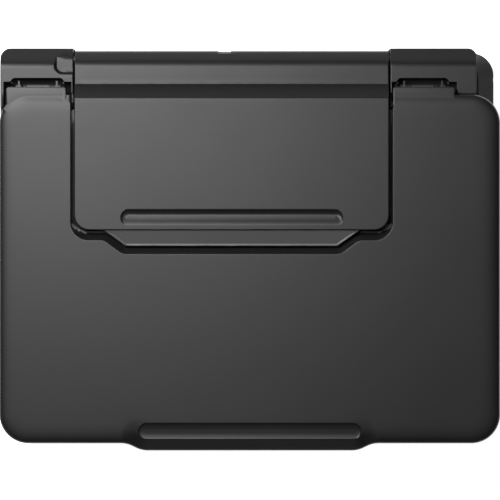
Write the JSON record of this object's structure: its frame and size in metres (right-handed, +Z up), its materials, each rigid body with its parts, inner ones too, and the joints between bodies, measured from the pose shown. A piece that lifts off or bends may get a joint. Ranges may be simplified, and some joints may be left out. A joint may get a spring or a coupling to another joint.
{
  "type": "inkjet printer",
  "caption": "Low, wide inkjet printer and scanner in charcoal plastic, with a folding rear paper support, a lifting scanner, an ink tank bay and a sliding output tray.",
  "frame": {"origin": "middle of the footprint, on the table under the rubber feet", "axes": "+X to the right, +Y to the rear (paper support side), +Z up"},
  "size_m": [0.416, 0.337, 0.177],
  "materials": {
    "belt_rubber": "toothed belt",
    "button": "satin grey plastic",
    "case_plastic": "fine grained charcoal grey moulded plastic",
    "circuit": "green circuit board",
    "gear_plastic": "white acetal",
    "glass": "clear flat glass",
    "ink_black": "translucent tank with black ink",
    "ink_cyan": "translucent tank with cyan ink",
    "ink_magenta": "translucent tank with magenta ink",
    "ink_yellow": "translucent tank with yellow ink",
    "liner_plastic": "dark grey liner",
    "mechanism_plastic": "black engineering plastic",
    "motor_can": "plated motor can",
    "pad_white": "white foam pad",
    "roller_rubber": "rubber coated roller",
    "rubber_feet": "matte black rubber",
    "shaft_steel": "ground steel",
    "sheet_steel": "zinc plated sheet steel",
    "trim_plastic": "black moulded plastic",
    "window": "smoked gloss window"
  },
  "bodies": {
    "main_body": {"rubber_feet": "rubber_feet", "base_case": "trim_plastic", "outer_case": "case_plastic", "case_screws": "sheet_steel", "front_fascia": "case_plastic", "operation_panel": "trim_plastic", "lcd_window": "window", "output_chute": "trim_plastic", "tank_black": "ink_black", "tank_cyan": "ink_cyan", "tank_magenta": "ink_magenta", "tank_yellow": "ink_yellow", "chassis": "sheet_steel", "roller_frames": "sheet_steel", "guide_shaft": "shaft_steel", "carriage_belt": "belt_rubber", "carriage_motor": "motor_can", "platen": "mechanism_plastic", "feed_motor": "motor_can", "star_wheel_bar": "mechanism_plastic", "paper_path_guide": "trim_plastic", "rear_tray": "trim_plastic", "main_board": "circuit", "power_supply": "trim_plastic"},
    "scanner_unit": {"scanner_base": "case_plastic", "scanner_frame": "case_plastic", "platen_glass": "glass"},
    "document_cover": {"document_cover": "case_plastic", "cover_liner": "liner_plastic", "platen_pad": "pad_white"},
    "support_pins": {"support_pins": "shaft_steel", "support_liner": "trim_plastic"},
    "paper_support": {"paper_support": "case_plastic"},
    "cis_module": {"cis_module": "mechanism_plastic"},
    "output_tray": {"output_tray": "trim_plastic"},
    "tray_extension": {"tray_extension": "trim_plastic"},
    "paper_stop": {"paper_stop": "trim_plastic"},
    "carriage": {"carriage": "mechanism_plastic", "print_heads": "mechanism_plastic"},
    "motor_pulley": {"motor_pulley": "gear_plastic"},
    "idler_pulley": {"idler_pulley": "gear_plastic"},
    "cap_unit": {"cap_unit": "mechanism_plastic"},
    "line_feed_roller": {"line_feed_roller": "shaft_steel"},
    "eject_roller": {"eject_roller": "roller_rubber"},
    "idler_gear": {"idler_gear": "gear_plastic"},
    "motor_pinion": {"motor_pinion": "gear_plastic"},
    "pinch_rollers": {"pinch_rollers": "roller_rubber"},
    "feed_roller": {"feed_roller": "roller_rubber"},
    "guide_left": {"guide_left": "trim_plastic"},
    "guide_right": {"guide_right": "trim_plastic"},
    "guide_pinion": {"guide_pinion": "gear_plastic"},
    "maintenance_cartridge": {"maintenance_cartridge": "trim_plastic"},
    "power_button": {"power_button": "button"},
    "wireless_button": {"wireless_button": "button"},
    "stop_button": {"stop_button": "button"},
    "start_button": {"start_button": "button"},
    "cap_black": {"cap_black": "ink_black"},
    "cap_cyan": {"cap_cyan": "ink_cyan"},
    "cap_magenta": {"cap_magenta": "ink_magenta"},
    "cap_yellow": {"cap_yellow": "ink_yellow"}
  },
  "joints": [
    {"name": "scanner_lift", "type": "hinge", "parent": "main_body", "child": "scanner_unit", "pos_m": [0, 0.157, 0.113], "axis": [-1, 0, 0], "range_deg": [0, 35]},
    {"name": "cover_hinge", "type": "hinge", "parent": "scanner_unit", "child": "document_cover", "pos_m": [0, 0.1374, 0.161], "axis": [-1, 0, 0], "range_deg": [0, 75]},
    {"name": "support_carrier", "type": "hinge", "parent": "scanner_unit", "child": "support_pins", "pos_m": [0, 0.157, 0.1565], "axis": [-1, 0, 0], "range_deg": [0, 75]},
    {"name": "support_hinge", "type": "hinge", "parent": "support_pins", "child": "paper_support", "pos_m": [0, 0.157, 0.1565], "axis": [1, 0, 0], "range_deg": [-110, 0]},
    {"name": "scan_travel", "type": "slide", "parent": "scanner_unit", "child": "cis_module", "axis": [1, 0, 0], "range_m": [0, 0.275]},
    {"name": "tray_slide", "type": "slide", "parent": "main_body", "child": "output_tray", "axis": [0, -1, 0], "range_m": [0, 0.11]},
    {"name": "extension_slide", "type": "slide", "parent": "output_tray", "child": "tray_extension", "axis": [0, -1, 0], "range_m": [0, 0.07]},
    {"name": "stop_hinge", "type": "hinge", "parent": "tray_extension", "child": "paper_stop", "pos_m": [0, -0.1545, 0.028], "axis": [1, 0, 0], "range_deg": [0, 80]},
    {"name": "carriage_travel", "type": "slide", "parent": "main_body", "child": "carriage", "axis": [1, 0, 0], "range_m": [-0.288, 0]},
    {"name": "motor_pulley_spin", "type": "hinge", "parent": "main_body", "child": "motor_pulley", "pos_m": [0.18, 0.06, 0.09], "axis": [0, 1, 0], "range_deg": [-2360, 0]},
    {"name": "idler_pulley_spin", "type": "hinge", "parent": "main_body", "child": "idler_pulley", "pos_m": [-0.172, 0.06, 0.09], "axis": [0, 1, 0], "range_deg": [-2360, 0]},
    {"name": "cap_drop", "type": "slide", "parent": "main_body", "child": "cap_unit", "axis": [0, 0, -1], "range_m": [0, 0.004]},
    {"name": "line_feed_spin", "type": "hinge", "parent": "main_body", "child": "line_feed_roller", "pos_m": [-0.03, 0.038, 0.049], "axis": [1, 0, 0], "continuous": true},
    {"name": "eject_spin", "type": "hinge", "parent": "main_body", "child": "eject_roller", "pos_m": [-0.03, -0.018, 0.049], "axis": [1, 0, 0], "continuous": true},
    {"name": "idler_gear_spin", "type": "hinge", "parent": "main_body", "child": "idler_gear", "pos_m": [-0.185, 0.01, 0.049], "axis": [1, 0, 0], "continuous": true},
    {"name": "motor_pinion_spin", "type": "hinge", "parent": "main_body", "child": "motor_pinion", "pos_m": [-0.185, 0.063, 0.049], "axis": [1, 0, 0], "continuous": true},
    {"name": "pinch_spin", "type": "hinge", "parent": "main_body", "child": "pinch_rollers", "pos_m": [-0.02, 0.038, 0.0593], "axis": [1, 0, 0], "continuous": true},
    {"name": "feed_roller_spin", "type": "hinge", "parent": "main_body", "child": "feed_roller", "pos_m": [-0.015, 0.09803, 0.07469], "axis": [1, 0, 0], "continuous": true},
    {"name": "guide_slide", "type": "slide", "parent": "main_body", "child": "guide_left", "axis": [1, 0, 0], "range_m": [0, 0.054]},
    {"name": "guide_follow", "type": "slide", "parent": "main_body", "child": "guide_right", "axis": [1, 0, 0], "range_m": [-0.054, 0]},
    {"name": "guide_pinion_spin", "type": "hinge", "parent": "main_body", "child": "guide_pinion", "pos_m": [-0.015, 0.13192, 0.09671], "axis": [0, -0.891, 0.454], "range_deg": [-390, 0]},
    {"name": "cartridge_slide", "type": "slide", "parent": "main_body", "child": "maintenance_cartridge", "axis": [0, 1, 0], "range_m": [0, 0.08]},
    {"name": "power_press", "type": "slide", "parent": "main_body", "child": "power_button", "axis": [0, 1, 0], "range_m": [0, 0.0008], "stiffness_N_per_m": 600},
    {"name": "wireless_press", "type": "slide", "parent": "main_body", "child": "wireless_button", "axis": [0, 1, 0], "range_m": [0, 0.0008], "stiffness_N_per_m": 600},
    {"name": "stop_press", "type": "slide", "parent": "main_body", "child": "stop_button", "axis": [0, 1, 0], "range_m": [0, 0.0008], "stiffness_N_per_m": 600},
    {"name": "start_press", "type": "slide", "parent": "main_body", "child": "start_button", "axis": [0, 1, 0], "range_m": [0, 0.0008], "stiffness_N_per_m": 600},
    {"name": "cap_black_hinge", "type": "hinge", "parent": "main_body", "child": "cap_black", "pos_m": [-0.159, -0.0925, 0.0942], "axis": [-1, 0, 0], "range_deg": [0, 110]},
    {"name": "cap_cyan_hinge", "type": "hinge", "parent": "main_body", "child": "cap_cyan", "pos_m": [0.123, -0.0925, 0.0942], "axis": [-1, 0, 0], "range_deg": [0, 110]},
    {"name": "cap_magenta_hinge", "type": "hinge", "parent": "main_body", "child": "cap_magenta", "pos_m": [0.145, -0.0925, 0.0942], "axis": [-1, 0, 0], "range_deg": [0, 110]},
    {"name": "cap_yellow_hinge", "type": "hinge", "parent": "main_body", "child": "cap_yellow", "pos_m": [0.167, -0.0925, 0.0942], "axis": [-1, 0, 0], "range_deg": [0, 110]}
  ],
  "couplings": [
    {"joint": "support_carrier", "follows": "cover_hinge", "ratio": 1},
    {"joint": "motor_pulley_spin", "follows": "carriage_travel", "rad_per_m": 142.86},
    {"joint": "idler_pulley_spin", "follows": "carriage_travel", "rad_per_m": 142.86},
    {"joint": "eject_spin", "follows": "line_feed_spin", "ratio": 1},
    {"joint": "idler_gear_spin", "follows": "line_feed_spin", "ratio": -1.8},
    {"joint": "motor_pinion_spin", "follows": "line_feed_spin", "ratio": -2.5714},
    {"joint": "pinch_spin", "follows": "line_feed_spin", "ratio": -1.5},
    {"joint": "guide_follow", "follows": "guide_slide", "ratio": -1},
    {"joint": "guide_pinion_spin", "follows": "guide_slide", "rad_per_m": -125}
  ]
}
